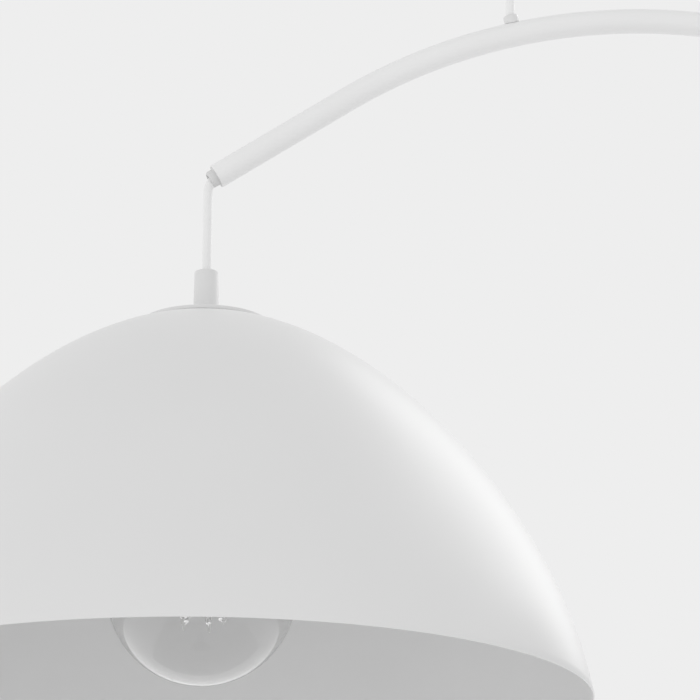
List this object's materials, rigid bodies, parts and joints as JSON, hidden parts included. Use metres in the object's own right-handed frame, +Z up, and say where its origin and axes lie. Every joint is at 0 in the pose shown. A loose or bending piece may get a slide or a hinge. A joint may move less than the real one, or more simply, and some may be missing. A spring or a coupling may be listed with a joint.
{
  "type": "bow pendant lamp",
  "caption": "Ceiling-hung pendant lamp: a curved tube bow on two cables with a dome shade and a globe bulb hanging from each end.",
  "frame": {"origin": "middle of the canopy bracket's face against the ceiling", "axes": "+Z up into the ceiling, +X along the bow, everything hangs at negative Z"},
  "size_m": [1.236, 0.57, 0.8003],
  "materials": {
    "shade_white": "white powder coat, satin",
    "bow_white": "white powder coat, satin",
    "fitting_grey": "pale grey lacquer, satin",
    "cable_white": "white PVC sheath",
    "rubber_grey": "pale grey rubber, matt",
    "plastic_white": "moulded white thermoplastic",
    "zinc": "zinc-plated steel",
    "brass": "bare brass",
    "ceramic": "unglazed steatite",
    "nickel": "nickel-plated",
    "glass": "clear blown glass",
    "filament": "matt wire"
  },
  "bodies": {
    "canopy": {"ceiling_bracket": "zinc", "canopy_shell": "bow_white", "terminal_block": "plastic_white", "earth_screw": "brass", "canopy_screw_left": "zinc", "canopy_gland_left": "fitting_grey", "gland_nut_left": "zinc", "canopy_lead_left": "cable_white", "canopy_screw_right": "zinc", "canopy_gland_right": "fitting_grey", "gland_nut_right": "zinc", "canopy_lead_right": "cable_white"},
    "hangers": {"gland_sleeve_left": "rubber_grey", "gland_sleeve_right": "rubber_grey"},
    "cable_left": {"suspension_cable_left": "cable_white"},
    "cable_right": {"suspension_cable_right": "cable_white"},
    "bow": {"bow_tube": "bow_white", "entry_collar_left": "fitting_grey", "inner_cable_left": "cable_white", "end_grommet_left": "rubber_grey", "entry_collar_right": "fitting_grey", "inner_cable_right": "cable_white", "end_grommet_right": "rubber_grey"},
    "link_left": {"drop_cable_link_left": "cable_white"},
    "pendant_left": {"drop_cable_left": "cable_white", "cord_grip_left": "fitting_grey", "grip_screw_left": "zinc", "top_disc_left": "shade_white", "stem_left": "zinc", "shade_nut_left": "zinc", "shade_left": "shade_white", "holder_cap_left": "plastic_white", "holder_body_left": "plastic_white", "holder_insert_left": "ceramic", "contact_shell_left": "brass", "centre_contact_left": "brass"},
    "glass_left": {"bulb_glass_left": "glass"},
    "bulb_left": {"bulb_cap_left": "nickel", "bulb_contact_left": "brass", "bulb_stem_left": "glass", "filament_left": "filament"},
    "link_right": {"drop_cable_link_right": "cable_white"},
    "pendant_right": {"drop_cable_right": "cable_white", "cord_grip_right": "fitting_grey", "grip_screw_right": "zinc", "top_disc_right": "shade_white", "stem_right": "zinc", "shade_nut_right": "zinc", "shade_right": "shade_white", "holder_cap_right": "plastic_white", "holder_body_right": "plastic_white", "holder_insert_right": "ceramic", "contact_shell_right": "brass", "centre_contact_right": "brass"},
    "glass_right": {"bulb_glass_right": "glass"},
    "bulb_right": {"bulb_cap_right": "nickel", "bulb_contact_right": "brass", "bulb_stem_right": "glass", "filament_right": "filament"}
  },
  "joints": [
    {"name": "fore_aft_sway", "type": "hinge", "parent": "canopy", "child": "hangers", "pos_m": [0, 0, -0.052], "axis": [1, 0, 0], "range_deg": [-10, 10]},
    {"name": "sideways_sway", "type": "hinge", "parent": "hangers", "child": "cable_left", "pos_m": [-0.09951, 0, -0.0752], "axis": [0, 1, 0], "range_deg": [-8, 8]},
    {"name": "bow_stays_level", "type": "hinge", "parent": "cable_left", "child": "bow", "pos_m": [-0.09951, 0, -0.2584], "axis": [0, 1, 0], "range_deg": [-8, 8]},
    {"name": "right_cable_sway", "type": "hinge", "parent": "hangers", "child": "cable_right", "pos_m": [0.09951, 0, -0.0752], "axis": [0, 1, 0], "range_deg": [-8, 8]},
    {"name": "left_shade_sideways_swing", "type": "hinge", "parent": "bow", "child": "link_left", "pos_m": [-0.333, 0, -0.40724], "axis": [0, 1, 0], "range_deg": [-6, 6]},
    {"name": "left_shade_fore_aft_swing", "type": "hinge", "parent": "link_left", "child": "pendant_left", "pos_m": [-0.333, 0, -0.41424], "axis": [1, 0, 0], "range_deg": [-15, 15]},
    {"name": "left_bulb_travel", "type": "slide", "parent": "pendant_left", "child": "glass_left", "axis": [0, 0, -1], "range_m": [0, 0.0108]},
    {"name": "left_bulb_unscrew", "type": "hinge", "parent": "glass_left", "child": "bulb_left", "pos_m": [-0.333, 0, -0.6355], "axis": [0, 0, -1], "range_deg": [0, 1080]},
    {"name": "right_shade_sideways_swing", "type": "hinge", "parent": "bow", "child": "link_right", "pos_m": [0.333, 0, -0.40724], "axis": [0, 1, 0], "range_deg": [-6, 6]},
    {"name": "right_shade_fore_aft_swing", "type": "hinge", "parent": "link_right", "child": "pendant_right", "pos_m": [0.333, 0, -0.41424], "axis": [1, 0, 0], "range_deg": [-15, 15]},
    {"name": "right_bulb_travel", "type": "slide", "parent": "pendant_right", "child": "glass_right", "axis": [0, 0, -1], "range_m": [0, 0.0108]},
    {"name": "right_bulb_unscrew", "type": "hinge", "parent": "glass_right", "child": "bulb_right", "pos_m": [0.333, 0, -0.6355], "axis": [0, 0, -1], "range_deg": [0, 1080]}
  ],
  "couplings": [
    {"joint": "bow_stays_level", "follows": "sideways_sway", "ratio": -1},
    {"joint": "right_cable_sway", "follows": "sideways_sway", "ratio": 1},
    {"joint": "left_bulb_unscrew", "follows": "left_bulb_travel", "rad_per_m": 1736},
    {"joint": "right_bulb_unscrew", "follows": "right_bulb_travel", "rad_per_m": 1736}
  ]
}
